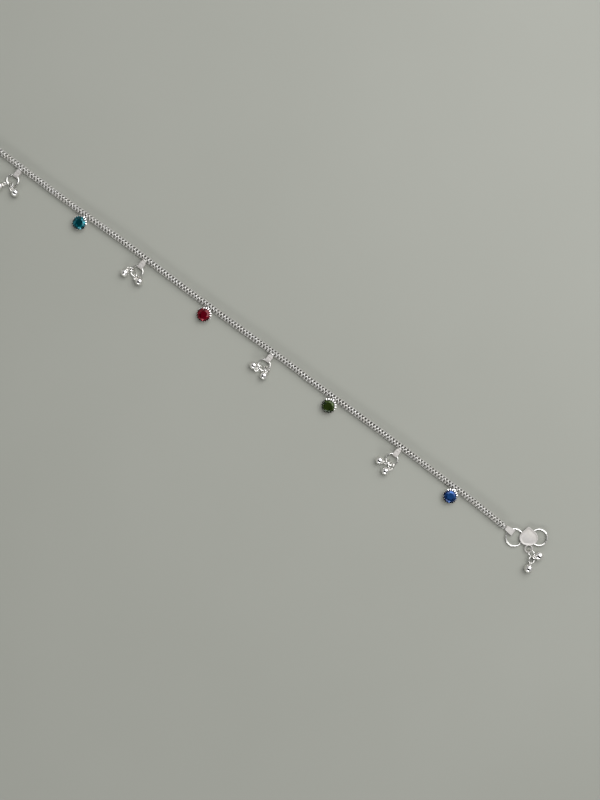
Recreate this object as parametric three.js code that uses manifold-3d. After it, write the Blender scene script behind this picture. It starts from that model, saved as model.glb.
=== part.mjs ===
// A silver payal anklet, laid out open and straight on a flat surface, in millimetres with +Z up.
//
// The chain runs along X from its plain closing ring to its S-hook clasp at +X. Round stone
// settings and pairs of small bells hang in turn from the chain's lower edge and lie towards -Y.
// Every ring is really threaded through its neighbours, with a small gap all round.
import * as THREE from "three";
import { mergeVertices } from "three/addons/utils/BufferGeometryUtils.js";
import Module from "manifold-3d";

// ---------------------------------------------------------------- driving dimensions, mm
const CHAIN_LENGTH = 246;
const CHAIN_DIAMETER = 2.1;
const CHAIN_STEP = 4.5;
const DANGLE_PITCH = 25.55;
const FIRST_DANGLE = 20.8;

const WIRE_GAP = 0.02; // room under a wire that lies on the surface
const SOLDER = 0.2; // how far a bell's eye and neck sink into what carries them
const END_GAP = 0.2; // room between the chain and the tag at each end
const HANGER_GAP = 0.1; // room between the chain and a hanger's loop

const SETTING = { base: 1.35, waist: 1.9, rim: 2.5, lip: 2.15, height: 2.15, seat: 1.3, side: 3.3 };
const SETTING_LUG = { width: 1.4, height: 0.28, root: 1.1, tip: 2.4 };
const STONE = { girdle: 2.08, table: 1.3, base: 0.5, bottom: 0.85, girdleZ: 1.75, top: 2.3 };

const STRIP = { width: 1.8, reach: 2.95, height: 1.5, thickness: 0.25, tongue: 0.3 };
const DROP_RING = { radius: 1.95, wire: 0.25, z: 0.8, hook: 3.25 };
const LINK_RING = { radius: 1.15, wire: 0.2 };
const BELL = { ball: 1.35, eye: 0.55, wire: 0.15, neck: 0.42 };

const HOOK = { wire: 0.28, loopA: 2.87, loopB: 2.7, spacing: 8.2, sweep: 290, z: 0.6, heading: 36.5 };
const LEAF = { halfWidth: 3.15, tip: 3.57, foot: -2.6, thickness: 0.45, centre: 4.7, z: 0.66 };
const LEAF_EYE = { radius: 1.2, wire: 0.22, p: 4.67, q: -3.75, z: 0.86 };
const CLASP_DROP = { radius: 1.6, wire: 0.2 };
const CLASP_LINK = { radius: 1.3, wire: 0.2 };
const CLASP_BELL = { ball: 1.5, eye: 0.55, wire: 0.15, neck: 0.45 };

const CLASP = {
  loopX: 250.7, // middle of the hook's chain loop
  loopY: -1.28,
  tagHeading: 1,
  dropPlace: -62,
  dropSlack: 0.29,
  dropTilt: 65,
  linkEye: -19,
  linkHeading: -103,
  linkSlack: 0.83,
  linkTilt: -37,
  bellA: { eye: 21, heading: 8 },
  bellB: { eye: -10, heading: -112 },
};

const END_TAG = { length: 3.6, narrow: 1.5, wide: 2.5, height: 1.2, wall: 0.22, slot: 2.5 };
const CLOSING_RING = { radius: 2.5, wire: 0.28, place: 2.35 };

// Gentle sideways wander of the chain as it lies: x along the chain, y off its straight line.
const CHAIN_ROUTE = [
  { x: 0, y: 0 },
  { x: 36, y: 0.15 },
  { x: 66, y: 0.05 },
  { x: 88, y: 0.45 },
  { x: 111, y: 0.15 },
  { x: 133, y: 0.3 },
  { x: 156, y: 0.55 },
  { x: 167, y: 0.35 },
  { x: 181, y: 0.55 },
  { x: 201, y: 0.55 },
  { x: 217, y: 0.35 },
  { x: 231, y: 0.3 },
  { x: 246, y: -0.35 },
];

// What hangs at each place along the chain; slip is how far it sits from its even place.
const DANGLES = [
  { name: "stone_1", slip: 0, colour: 0x1d3a78 },
  { name: "bells_1", slip: -0.5 },
  { name: "stone_2", slip: 0.4, colour: 0x0d6f7a },
  { name: "bells_2", slip: -0.35 },
  { name: "stone_3", slip: 0.6, colour: 0x8c0f22 },
  { name: "bells_3", slip: 1.1 },
  { name: "stone_4", slip: 0.85, colour: 0x2f4f22 },
  { name: "bells_4", slip: 2.8 },
  { name: "stone_5", slip: 0, colour: 0x1d3a78 },
];

// How each bell lies. place: where its link hooks round the drop ring; slack: how far the link's
// middle sits outside that ring's wire; tilt: the link's lean off the surface; eye: where the
// bell's eye sits round the link; heading: which way the bell points from its eye. Degrees, mm.
const BELL_LIE = {
  bells_1: [
    { place: -117, slack: 0.0, tilt: 67, eye: -2, heading: -122 },
    { place: -61, slack: -0.05, tilt: 59, eye: 17, heading: -10 },
  ],
  bells_2: [
    { place: -163, slack: 0.03, tilt: 62, eye: 29, heading: -95 },
    { place: -73, slack: -0.27, tilt: 62, eye: 47, heading: -1 },
  ],
  bells_3: [
    { place: -111, slack: -0.05, tilt: -66, eye: -11, heading: -199 },
    { place: -22, slack: -0.11, tilt: -58, eye: -59, heading: -93 },
  ],
  bells_4: [
    { place: -119, slack: 0.0, tilt: 69, eye: -28, heading: -172 },
    { place: -62, slack: 0.21, tilt: 46, eye: -15, heading: -122 },
  ],
};

// ---------------------------------------------------------------- materials
const polishedSilver = new THREE.MeshStandardMaterial({ color: 0xdedcd6, roughness: 0.12, metalness: 1 });
const frostedSilver = new THREE.MeshStandardMaterial({ color: 0xd9d6d0, roughness: 0.5, metalness: 1 });
const chainSilver = new THREE.MeshStandardMaterial({ color: 0xc9c8c2, roughness: 0.3, metalness: 1 });

function stoneMaterial(colour) {
  return new THREE.MeshStandardMaterial({ color: colour, roughness: 0.08, metalness: 0.2 });
}

// ---------------------------------------------------------------- helpers
const wasm = await Module();
wasm.setup();

const UP = new THREE.Vector3(0, 0, 1);
const rad = THREE.MathUtils.degToRad;

function heading(degrees, length = 1) {
  return new THREE.Vector3(Math.cos(rad(degrees)) * length, Math.sin(rad(degrees)) * length, 0);
}

// A closed geometry as a solid that can be joined to or cut by another.
function solid(geometry) {
  const bare = geometry.clone();
  bare.deleteAttribute("normal");
  bare.deleteAttribute("uv");
  const merged = mergeVertices(bare, 1e-4);
  const mesh = new wasm.Mesh({
    numProp: 3,
    vertProperties: merged.attributes.position.array,
    triVerts: new Uint32Array(merged.index.array),
  });
  return new wasm.Manifold(mesh);
}

function geometryOf(body) {
  const mesh = body.getMesh();
  const geometry = new THREE.BufferGeometry();
  geometry.setAttribute("position", new THREE.BufferAttribute(mesh.vertProperties, 3));
  geometry.setIndex(new THREE.BufferAttribute(mesh.triVerts, 1));
  geometry.computeVertexNormals();
  return geometry;
}

function joined(geometries) {
  return geometryOf(geometries.map(solid).reduce((all, next) => all.add(next)));
}

// The frame of a leaning ring: "across" stays level at its heading, "lean" climbs by the tilt.
function ringFrame(centre, headingDegrees, tiltDegrees) {
  const across = heading(headingDegrees);
  const level = heading(headingDegrees + 90);
  const lean = level.multiplyScalar(Math.cos(rad(tiltDegrees))).addScaledVector(UP, Math.sin(rad(tiltDegrees)));
  return { centre, across, lean };
}

function pointOnRing(frame, radius, degrees) {
  return frame.centre
    .clone()
    .addScaledVector(frame.across, radius * Math.cos(rad(degrees)))
    .addScaledVector(frame.lean, radius * Math.sin(rad(degrees)));
}

function tangentOnRing(frame, degrees) {
  return frame.across
    .clone()
    .multiplyScalar(-Math.sin(rad(degrees)))
    .addScaledVector(frame.lean, Math.cos(rad(degrees)));
}

function framePose(frame) {
  const normal = frame.across.clone().cross(frame.lean);
  return new THREE.Matrix4().makeBasis(frame.across, frame.lean, normal).setPosition(frame.centre);
}

function wireRing(frame, radius, wire, sides, steps) {
  return new THREE.TorusGeometry(radius, wire, sides, steps).applyMatrix4(framePose(frame));
}

// The height at which a leaning ring just lies on the surface.
function restingHeight(radius, wire, tiltDegrees) {
  return radius * Math.abs(Math.sin(rad(tiltDegrees))) + wire + WIRE_GAP;
}

// ---------------------------------------------------------------- chain
const chainRoute = new THREE.CatmullRomCurve3(
  CHAIN_ROUTE.map((row) => new THREE.Vector3(row.x, row.y, CHAIN_DIAMETER / 2)),
);

// The point of the surface under the chain's middle, this far along it.
function chainPlace(x) {
  return chainRoute.getPointAt(x / CHAIN_LENGTH).setZ(0);
}

// The woven chain as one eight-sided tube, with a flat side down.
function chainGeometry() {
  const corner = CHAIN_DIAMETER / 2 / Math.cos(Math.PI / 8);
  const section = new THREE.Shape(
    Array.from({ length: 8 }, (_, i) => {
      const angle = ((i + 0.5) / 8) * 2 * Math.PI;
      return new THREE.Vector2(Math.cos(angle) * corner, Math.sin(angle) * corner);
    }),
  );
  return new THREE.ExtrudeGeometry(section, {
    steps: Math.round(CHAIN_LENGTH / CHAIN_STEP),
    extrudePath: chainRoute,
  });
}

// ---------------------------------------------------------------- stone and its setting
// A flared crown cup with an inward lip, hollow down to the stone's seat, and the small lug that
// ties it to the chain. Its middle is at the origin and the chain lies towards +Y.
function settingGeometry() {
  const profile = [
    [0, 0],
    [SETTING.base, 0],
    [SETTING.waist, SETTING.seat],
    [SETTING.rim, SETTING.height - 0.3],
    [SETTING.rim - 0.12, SETTING.height],
    [SETTING.lip, SETTING.height],
    [SETTING.rim - 0.22, SETTING.height - 0.3],
    [SETTING.waist - 0.2, SETTING.seat],
    [SETTING.base - 0.3, 0.35],
    [0, 0.35],
  ].map(([r, z]) => new THREE.Vector2(r, z));
  const cup = new THREE.LatheGeometry(profile, 16).rotateX(Math.PI / 2);
  const { width, height, root, tip } = SETTING_LUG;
  const lug = new THREE.BoxGeometry(width, tip - root, height);
  lug.translate(0, (root + tip) / 2, height / 2);
  return joined([cup, lug]);
}

// A round faceted stone: table, crown, girdle and a blunt pavilion.
function stoneGeometry() {
  const profile = [
    [0, STONE.bottom],
    [STONE.base, STONE.bottom],
    [STONE.girdle - 0.6, STONE.girdleZ - 0.38],
    [STONE.girdle, STONE.girdleZ],
    [STONE.table, STONE.top],
    [0, STONE.top],
  ].map(([r, z]) => new THREE.Vector2(r, z));
  return new THREE.LatheGeometry(profile, 12).rotateX(Math.PI / 2);
}

// ---------------------------------------------------------------- bells and what they hang on
// A flat strip doubled back into a loop, seen end on in the YZ plane, with a short tongue that
// reaches over the chain's shoulder. Its near side is at y = 0 and it reaches towards -Y.
function stripGeometry() {
  const outer = STRIP.height / 2;
  const inner = outer - STRIP.thickness;
  const straight = STRIP.reach - STRIP.height;
  const outline = new THREE.Shape();
  outline.absarc(-outer, 0, outer, -Math.PI / 2, Math.PI / 2, false);
  outline.absarc(-outer - straight, 0, outer, Math.PI / 2, 1.5 * Math.PI, false);
  const slot = new THREE.Path();
  slot.absarc(-outer, 0, inner, Math.PI / 2, -Math.PI / 2, true);
  slot.absarc(-outer - straight, 0, inner, -Math.PI / 2, Math.PI / 2, true);
  outline.holes.push(slot);
  const loop = new THREE.ExtrudeGeometry(outline, {
    depth: STRIP.width,
    bevelEnabled: false,
    curveSegments: 7,
  });
  loop.translate(0, 0, -STRIP.width / 2);
  const tongue = new THREE.BoxGeometry(STRIP.tongue + 0.8, STRIP.thickness, STRIP.width * 0.8);
  tongue.translate((STRIP.tongue - 0.8) / 2 - 0.25, outer - STRIP.thickness / 2, 0);
  // (x, y, z) of the drawing become (y, z, x) of the anklet.
  const stand = new THREE.Matrix4().makeBasis(
    new THREE.Vector3(0, 1, 0),
    new THREE.Vector3(0, 0, 1),
    new THREE.Vector3(1, 0, 0),
  );
  return joined([loop, tongue]).applyMatrix4(stand).translate(0, 0, outer);
}

// A round bell with a short neck and a wire eye, hung by the eye at a point on a link.
function bellGeometry(size, eyeCentre, linkTangent, headingDegrees) {
  const reach = size.ball + size.eye - SOLDER;
  const drop = size.ball + WIRE_GAP - eyeCentre.z;
  const level = Math.sqrt(reach * reach - drop * drop);
  const ballCentre = eyeCentre.clone().add(heading(headingDegrees, level)).addScaledVector(UP, drop);
  const axis = eyeCentre.clone().sub(ballCentre).normalize();
  const facing = linkTangent.clone().addScaledVector(axis, -linkTangent.dot(axis)).normalize();
  const eyeFrame = { centre: eyeCentre, across: axis, lean: facing.clone().cross(axis) };

  const ball = new THREE.SphereGeometry(size.ball, 12, 8);
  const neck = new THREE.CylinderGeometry(size.neck * 0.75, size.neck, 2 * SOLDER, 8);
  neck.translate(0, size.ball - SOLDER, 0);
  const turn = new THREE.Matrix4().makeRotationFromQuaternion(
    new THREE.Quaternion().setFromUnitVectors(new THREE.Vector3(0, 1, 0), axis),
  );
  const move = new THREE.Matrix4().setPosition(ballCentre);
  return joined([
    ball.applyMatrix4(turn).applyMatrix4(move),
    neck.applyMatrix4(turn).applyMatrix4(move),
    wireRing(eyeFrame, size.eye, size.wire, 6, 12),
  ]);
}

// ---------------------------------------------------------------- clasp
// The leaf-shaped plate: a blunt tip at +Y, full shoulders and a rounded foot.
function leafShape() {
  const w = LEAF.halfWidth;
  const shape = new THREE.Shape();
  shape.moveTo(0, LEAF.tip);
  shape.bezierCurveTo(w * 0.42, LEAF.tip - 0.75, w, LEAF.tip - 2.0, w, 0.1);
  shape.bezierCurveTo(w, -1.35, w * 0.66, LEAF.foot + 0.05, w * 0.3, LEAF.foot);
  shape.lineTo(0, LEAF.foot + 0.2);
  shape.lineTo(-w * 0.3, LEAF.foot);
  shape.bezierCurveTo(-w * 0.66, LEAF.foot + 0.05, -w, -1.35, -w, 0.1);
  shape.bezierCurveTo(-w, LEAF.tip - 2.0, -w * 0.42, LEAF.tip - 0.75, 0, LEAF.tip);
  return shape;
}

// The wire's middle line, an S: round the chain's loop, straight across under the leaf, and round
// the open loop. The straight stretch is the inner tangent of the two loops.
const TANGENT = Math.acos((HOOK.loopA + HOOK.loopB) / HOOK.spacing);
const CROSSING = Math.sqrt(HOOK.spacing ** 2 - (HOOK.loopA + HOOK.loopB) ** 2);

class HookCurve extends THREE.Curve {
  getPoint(t, target = new THREE.Vector3()) {
    const sweep = rad(HOOK.sweep);
    const lengthA = HOOK.loopA * sweep;
    const s = t * (lengthA + CROSSING + HOOK.loopB * sweep);
    if (s <= lengthA) {
      const angle = TANGENT + sweep - s / HOOK.loopA;
      return target.set(Math.cos(angle) * HOOK.loopA, Math.sin(angle) * HOOK.loopA, 0);
    }
    if (s <= lengthA + CROSSING) {
      const along = s - lengthA;
      const x = Math.cos(TANGENT) * HOOK.loopA + Math.sin(TANGENT) * along;
      const y = Math.sin(TANGENT) * HOOK.loopA - Math.cos(TANGENT) * along;
      return target.set(x, y, 0);
    }
    const angle = TANGENT + Math.PI + (s - lengthA - CROSSING) / HOOK.loopB;
    return target.set(
      HOOK.spacing + Math.cos(angle) * HOOK.loopB,
      Math.sin(angle) * HOOK.loopB,
      0,
    );
  }
}

function wireSection(radius, sides) {
  const points = Array.from({ length: sides }, (_, i) => {
    const angle = (i / sides) * 2 * Math.PI;
    return new THREE.Vector2(Math.cos(angle) * radius, Math.sin(angle) * radius);
  });
  return new THREE.Shape(points);
}

// S-hook, leaf plate and the leaf's eye, soldered into one.
function hookGeometry() {
  const wire = new THREE.ExtrudeGeometry(wireSection(HOOK.wire, 8), {
    steps: 44,
    extrudePath: new HookCurve(),
  });
  wire.translate(0, 0, HOOK.z);
  const leaf = new THREE.ExtrudeGeometry(leafShape(), {
    depth: LEAF.thickness,
    bevelEnabled: false,
    curveSegments: 6,
  });
  leaf.translate(LEAF.centre, 0, LEAF.z);
  const eye = new THREE.TorusGeometry(LEAF_EYE.radius, LEAF_EYE.wire, 6, 18);
  eye.translate(LEAF_EYE.p, LEAF_EYE.q, LEAF_EYE.z);
  return joined([wire, leaf, eye]);
}

// A strip folded over the ring or hook at a chain end: it flares from the chain outwards, and the
// wire runs in its slot. Its chain end is at x = 0 and it reaches towards +X.
function endTagGeometry() {
  const half = END_TAG.height / 2;
  const inner = half - END_TAG.wall;
  const nose = END_TAG.length - half;
  const side = new THREE.Shape();
  side.moveTo(0, -half);
  side.lineTo(nose, -half);
  side.absarc(nose, 0, half, -Math.PI / 2, Math.PI / 2, false);
  side.lineTo(0, half);
  side.lineTo(0, -half);
  const slot = new THREE.Path();
  slot.moveTo(nose, inner);
  slot.absarc(nose, 0, inner, Math.PI / 2, -Math.PI / 2, true);
  slot.lineTo(END_TAG.length - END_TAG.slot, -inner);
  slot.absarc(END_TAG.length - END_TAG.slot, 0, inner, -Math.PI / 2, Math.PI / 2, true);
  slot.lineTo(nose, inner);
  side.holes.push(slot);
  const strip = new THREE.ExtrudeGeometry(side, {
    depth: END_TAG.wide,
    bevelEnabled: false,
    curveSegments: 6,
  });
  strip.rotateX(Math.PI / 2).translate(0, END_TAG.wide / 2, half);
  const plan = new THREE.Shape([
    new THREE.Vector2(0, -END_TAG.narrow / 2),
    new THREE.Vector2(END_TAG.length, -END_TAG.wide / 2),
    new THREE.Vector2(END_TAG.length, END_TAG.wide / 2),
    new THREE.Vector2(0, END_TAG.narrow / 2),
  ]);
  const flare = new THREE.ExtrudeGeometry(plan, { depth: END_TAG.height + 1, bevelEnabled: false });
  flare.translate(0, 0, -0.5);
  return geometryOf(solid(strip).intersect(solid(flare)));
}

// ---------------------------------------------------------------- assembly
const anklet = new THREE.Group();

function place(parent, name, geometry, material) {
  const mesh = new THREE.Mesh(geometry, material);
  mesh.name = name;
  parent.add(mesh);
  return mesh;
}

function addStone(dangle, x) {
  const group = new THREE.Group();
  group.position.copy(chainPlace(x));
  group.position.y -= SETTING.side;
  place(group, `setting_${dangle.name.slice(-1)}`, settingGeometry(), polishedSilver);
  place(group, dangle.name, stoneGeometry(), stoneMaterial(dangle.colour));
  anklet.add(group);
}

function addBells(dangle, x) {
  const group = new THREE.Group();
  group.position.copy(chainPlace(x));
  const number = dangle.name.slice(-1);
  const strip = place(group, `hanger_${number}`, stripGeometry(), frostedSilver);
  strip.position.y = -CHAIN_DIAMETER / 2 - HANGER_GAP;
  const ringCentre = new THREE.Vector3(0, -DROP_RING.hook - DROP_RING.radius, DROP_RING.z);
  const dropFrame = ringFrame(ringCentre, 0, 0);
  const dropRing = wireRing(dropFrame, DROP_RING.radius, DROP_RING.wire, 6, 16);
  place(group, `drop_ring_${number}`, dropRing, polishedSilver);
  BELL_LIE[dangle.name].forEach((lie, i) => {
    const letter = "ab"[i];
    const centre = ringCentre.clone().add(heading(lie.place, DROP_RING.radius + lie.slack));
    centre.z = restingHeight(LINK_RING.radius, LINK_RING.wire, lie.tilt);
    const frame = ringFrame(centre, lie.place, lie.tilt);
    const eyeCentre = pointOnRing(frame, LINK_RING.radius, lie.eye);
    const link = wireRing(frame, LINK_RING.radius, LINK_RING.wire, 6, 12);
    const bell = bellGeometry(BELL, eyeCentre, tangentOnRing(frame, lie.eye), lie.heading);
    place(group, `link_ring_${number}${letter}`, link, polishedSilver);
    place(group, `bell_${number}${letter}`, bell, polishedSilver);
  });
  anklet.add(group);
}

function addClasp() {
  const chainEnd = chainPlace(CHAIN_LENGTH);
  const tag = place(anklet, "end_tag_hook", endTagGeometry(), frostedSilver);
  tag.position.set(CHAIN_LENGTH + END_GAP, chainEnd.y, 0);
  tag.rotation.z = rad(CLASP.tagHeading);

  const group = new THREE.Group();
  group.position.set(CLASP.loopX, CLASP.loopY, 0);
  group.rotation.z = rad(HOOK.heading);
  place(group, "s_hook", hookGeometry(), frostedSilver);

  const dropCentre = new THREE.Vector3(LEAF_EYE.p, LEAF_EYE.q, 0);
  dropCentre.add(heading(CLASP.dropPlace, LEAF_EYE.radius + CLASP.dropSlack));
  dropCentre.z = restingHeight(CLASP_DROP.radius, CLASP_DROP.wire, CLASP.dropTilt);
  const drop = ringFrame(dropCentre, CLASP.dropPlace, CLASP.dropTilt);
  place(group, "clasp_ring", wireRing(drop, CLASP_DROP.radius, CLASP_DROP.wire, 6, 14), polishedSilver);

  const eyeA = pointOnRing(drop, CLASP_DROP.radius, CLASP.bellA.eye);
  const bellA = bellGeometry(CLASP_BELL, eyeA, tangentOnRing(drop, CLASP.bellA.eye), CLASP.bellA.heading);
  place(group, "clasp_bell_a", bellA, polishedSilver);

  const linkCentre = pointOnRing(drop, CLASP_DROP.radius, CLASP.linkEye);
  linkCentre.add(heading(CLASP.linkHeading, CLASP.linkSlack));
  linkCentre.z = restingHeight(CLASP_LINK.radius, CLASP_LINK.wire, CLASP.linkTilt);
  const link = ringFrame(linkCentre, CLASP.linkHeading, CLASP.linkTilt);
  place(group, "clasp_link", wireRing(link, CLASP_LINK.radius, CLASP_LINK.wire, 6, 12), polishedSilver);

  const eyeB = pointOnRing(link, CLASP_LINK.radius, CLASP.bellB.eye);
  const bellB = bellGeometry(CLASP_BELL, eyeB, tangentOnRing(link, CLASP.bellB.eye), CLASP.bellB.heading);
  place(group, "clasp_bell_b", bellB, polishedSilver);
  anklet.add(group);
}

// The other end: the same folded tag, turned round, and the plain ring that the hook closes on.
function addClosingRing() {
  const tag = place(anklet, "end_tag_ring", endTagGeometry(), frostedSilver);
  tag.position.set(-END_GAP, CHAIN_ROUTE[0].y, 0);
  tag.rotation.z = Math.PI;
  const centreX = -END_GAP - CLOSING_RING.place - CLOSING_RING.radius;
  const centre = new THREE.Vector3(centreX, 0, END_TAG.height / 2);
  const ring = wireRing(ringFrame(centre, 0, 0), CLOSING_RING.radius, CLOSING_RING.wire, 8, 20);
  place(anklet, "closing_ring", ring, polishedSilver);
}

place(anklet, "chain", chainGeometry(), chainSilver);
DANGLES.forEach((dangle, i) => {
  const x = FIRST_DANGLE + i * DANGLE_PITCH + dangle.slip;
  if (dangle.colour === undefined) addBells(dangle, x);
  else addStone(dangle, x);
});
addClasp();
addClosingRing();

// The frame's origin is the middle of the whole anklet's footprint, on the surface it lies on.
anklet.updateMatrixWorld(true);
const bounds = new THREE.Box3().setFromObject(anklet, true);
const middle = bounds.getCenter(new THREE.Vector3());
anklet.position.set(-middle.x, -middle.y, -bounds.min.z);

export default anklet;
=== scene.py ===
# %% [markdown]
# # A silver payal anklet, laid out on a pale table
#
# A payal is a chain worn round the ankle. This one is a fine woven silver chain. Round glass
# stones in claw settings and pairs of tiny bells hang from it in turn, and it closes with an
# S-shaped hook that carries a leaf-shaped plate and two more bells.
#
# The solid model of the anklet is loaded first, as a fixed frame. Every place in this lesson is
# read from it, so each finer piece lands exactly where its plain twin lies.

import math
import random

import bmesh
import bpy
import numpy as np
from mathutils import Matrix, Vector
from mathutils.geometry import interpolate_bezier


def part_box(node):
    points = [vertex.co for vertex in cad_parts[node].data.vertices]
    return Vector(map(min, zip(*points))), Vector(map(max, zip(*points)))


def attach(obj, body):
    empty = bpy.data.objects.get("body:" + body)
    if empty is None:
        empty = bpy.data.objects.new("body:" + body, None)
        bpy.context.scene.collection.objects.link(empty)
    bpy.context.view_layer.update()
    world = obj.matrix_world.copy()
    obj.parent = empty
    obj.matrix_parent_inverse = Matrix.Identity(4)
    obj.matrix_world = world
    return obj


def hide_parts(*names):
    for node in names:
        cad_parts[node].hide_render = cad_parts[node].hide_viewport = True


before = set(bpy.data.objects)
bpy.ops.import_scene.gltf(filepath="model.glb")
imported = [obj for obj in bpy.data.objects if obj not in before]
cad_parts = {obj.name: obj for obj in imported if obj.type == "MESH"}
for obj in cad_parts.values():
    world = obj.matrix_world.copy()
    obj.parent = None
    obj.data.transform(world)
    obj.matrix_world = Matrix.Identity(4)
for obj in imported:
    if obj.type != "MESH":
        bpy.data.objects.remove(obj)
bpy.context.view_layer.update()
MM = 0.001
UP = Vector((0, 0, 1))

# %% [markdown]
# ## Camera
#
# The anklet is looked at from straight above, with its chain running down across the picture.
# The chain stays along X, so the camera is turned instead. A long lens a little way off keeps
# the small pieces from leaning outwards.

# %% Camera above the anklet
VIEW_TURN = math.radians(36.5)  # how far the chain runs down from level in the picture
VIEW_TALL = 266.7 * MM  # how much of the table the picture's height takes in
LENS_MM = 50
SENSOR_MM = 36

chain_lo, chain_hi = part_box("chain")
chain_middle_y = (chain_lo.y + chain_hi.y) / 2
aim = Vector((chain_hi.x - 79.9 * MM, chain_middle_y - 7.08 * MM, 0))

camera_data = bpy.data.cameras.new("camera")
camera_data.lens = LENS_MM
camera_data.sensor_width = SENSOR_MM
camera_data.clip_start = 0.01
camera = bpy.data.objects.new("camera", camera_data)
camera.location = aim + UP * (VIEW_TALL * LENS_MM / SENSOR_MM)
camera.rotation_euler = (0, 0, VIEW_TURN)
bpy.context.scene.collection.objects.link(camera)
bpy.context.scene.camera = camera

picture_right = Vector((math.cos(VIEW_TURN), math.sin(VIEW_TURN), 0))
picture_up = Vector((-math.sin(VIEW_TURN), math.cos(VIEW_TURN), 0))
print("camera height, mm:", round(camera.location.z / MM, 1))

# %% [markdown]
# ## Shader helpers
#
# Each finish below is a small node tree. A few helpers keep the code short: one adds a node and
# sets its values, three add the maths, blend and ramp nodes used most, and the last starts a
# group with named inputs and outputs.


# %% Small helpers for node trees
def add_node(tree, kind, settings=None, **inputs):
    """Adds a node. settings are its options, and inputs are values or the sockets to link.

    An input is given by its name, or as i0, i1 and so on where several share a name.
    """
    node = tree.nodes.new(kind)
    for name, value in (settings or {}).items():
        setattr(node, name, value)
    for name, value in inputs.items():
        by_number = name[0] == "i" and name[1:].isdigit()
        key = int(name[1:]) if by_number else name.replace("_", " ")
        socket = node.inputs[key]
        if isinstance(value, bpy.types.NodeSocket):
            tree.links.new(value, socket)
        else:
            socket.default_value = value
    return node


def maths(tree, operation, a, b=0.0, clamp=False):
    node = add_node(tree, "ShaderNodeMath", {"operation": operation, "use_clamp": clamp}, i0=a, i1=b)
    return node.outputs[0]


def blend_colours(tree, amount, a, b, how="MIX"):
    node = tree.nodes.new("ShaderNodeMix")
    node.data_type = "RGBA"
    node.blend_type = how
    for socket, value in ((node.inputs[0], amount), (node.inputs[6], a), (node.inputs[7], b)):
        if isinstance(value, bpy.types.NodeSocket):
            tree.links.new(value, socket)
        else:
            socket.default_value = value
    return node.outputs[2]


def ramp(tree, value, stops):
    node = add_node(tree, "ShaderNodeValToRGB", None, Fac=value)
    elements = node.color_ramp.elements
    while len(elements) < len(stops):
        elements.new(0.5)
    for element, (position, level) in zip(elements, stops):
        element.position = position
        element.color = (level, level, level, 1)
    return node.outputs["Color"]


def new_group(name, inputs, outputs):
    """A shader node group. inputs and outputs are (name, socket kind, value) rows."""
    tree = bpy.data.node_groups.new(name, "ShaderNodeTree")
    for label, kind, value in inputs:
        socket = tree.interface.new_socket(label, in_out="INPUT", socket_type=kind)
        socket.default_value = value
    for label, kind in outputs:
        tree.interface.new_socket(label, in_out="OUTPUT", socket_type=kind)
    return tree, tree.nodes.new("NodeGroupInput"), tree.nodes.new("NodeGroupOutput")


# %% [markdown]
# ## Shared surface effects
#
# Silver is never a clean mirror. Handling leaves fine scratches, the air leaves a faint warm
# tarnish in patches, and drawn wire and cast parts are slightly uneven. Three of the finishes
# need all of this at different strengths, so it is one group that every silver places with its
# own values. It reads Object coordinates, which are metres here, so a scale of 4000 makes
# marks about a quarter of a millimetre across.

# %% Group: wear on silver
FLOAT = "NodeSocketFloat"
COLOUR = "NodeSocketColor"
VECTOR = "NodeSocketVector"


def make_silver_wear():
    tree, inward, outward = new_group(
        "silver_wear",
        [
            ("Colour", COLOUR, (0.9, 0.9, 0.88, 1)),
            ("Tarnish Colour", COLOUR, (0.62, 0.56, 0.46, 1)),
            ("Tarnish", FLOAT, 0.2),
            ("Roughness", FLOAT, 0.15),
            ("Scratches", FLOAT, 0.1),
            ("Patch Scale", FLOAT, 350.0),
            ("Grain Scale", FLOAT, 5000.0),
            ("Relief", FLOAT, 0.1),
        ],
        [("Colour", COLOUR), ("Roughness", FLOAT), ("Normal", VECTOR)],
    )
    place = tree.nodes.new("ShaderNodeTexCoord").outputs["Object"]
    patches = add_node(
        tree, "ShaderNodeTexNoise", None,
        Vector=place, Scale=inward.outputs["Patch Scale"], Detail=4.0, Roughness=0.6,
    )
    patch = ramp(tree, patches.outputs["Fac"], [(0.42, 0.0), (0.72, 1.0)])
    streaks = add_node(tree, "ShaderNodeMapping", None, Vector=place)
    streaks.inputs["Rotation"].default_value = (0.4, 0.2, 0.9)
    streaks.inputs["Scale"].default_value = (1.0, 9.0, 9.0)
    scratches = add_node(
        tree, "ShaderNodeTexNoise", None,
        Vector=streaks.outputs[0], Scale=900.0, Detail=5.0, Roughness=0.75,
    )
    scratch = ramp(tree, scratches.outputs["Fac"], [(0.5, 0.0), (0.66, 1.0)])
    grain = add_node(
        tree, "ShaderNodeTexNoise", None,
        Vector=place, Scale=inward.outputs["Grain Scale"], Detail=3.0, Roughness=0.55,
    )
    dull = maths(tree, "MULTIPLY", patch, inward.outputs["Tarnish"])
    colour = blend_colours(tree, dull, inward.outputs["Colour"], inward.outputs["Tarnish Colour"])
    tree.links.new(colour, outward.inputs["Colour"])
    marks = maths(tree, "MULTIPLY", scratch, inward.outputs["Scratches"])
    rough = maths(tree, "ADD", inward.outputs["Roughness"], marks)
    rough = maths(tree, "ADD", rough, maths(tree, "MULTIPLY", dull, 0.35), clamp=True)
    tree.links.new(rough, outward.inputs["Roughness"])
    height = maths(tree, "ADD", grain.outputs["Fac"], maths(tree, "MULTIPLY", scratch, 0.25))
    bump = add_node(
        tree, "ShaderNodeBump", None,
        Strength=inward.outputs["Relief"], Distance=0.02 * MM, Height=height,
    )
    tree.links.new(bump.outputs["Normal"], outward.inputs["Normal"])
    return tree


silver_wear = make_silver_wear()
print("group:", silver_wear.name, len(silver_wear.nodes), "nodes")

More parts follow.
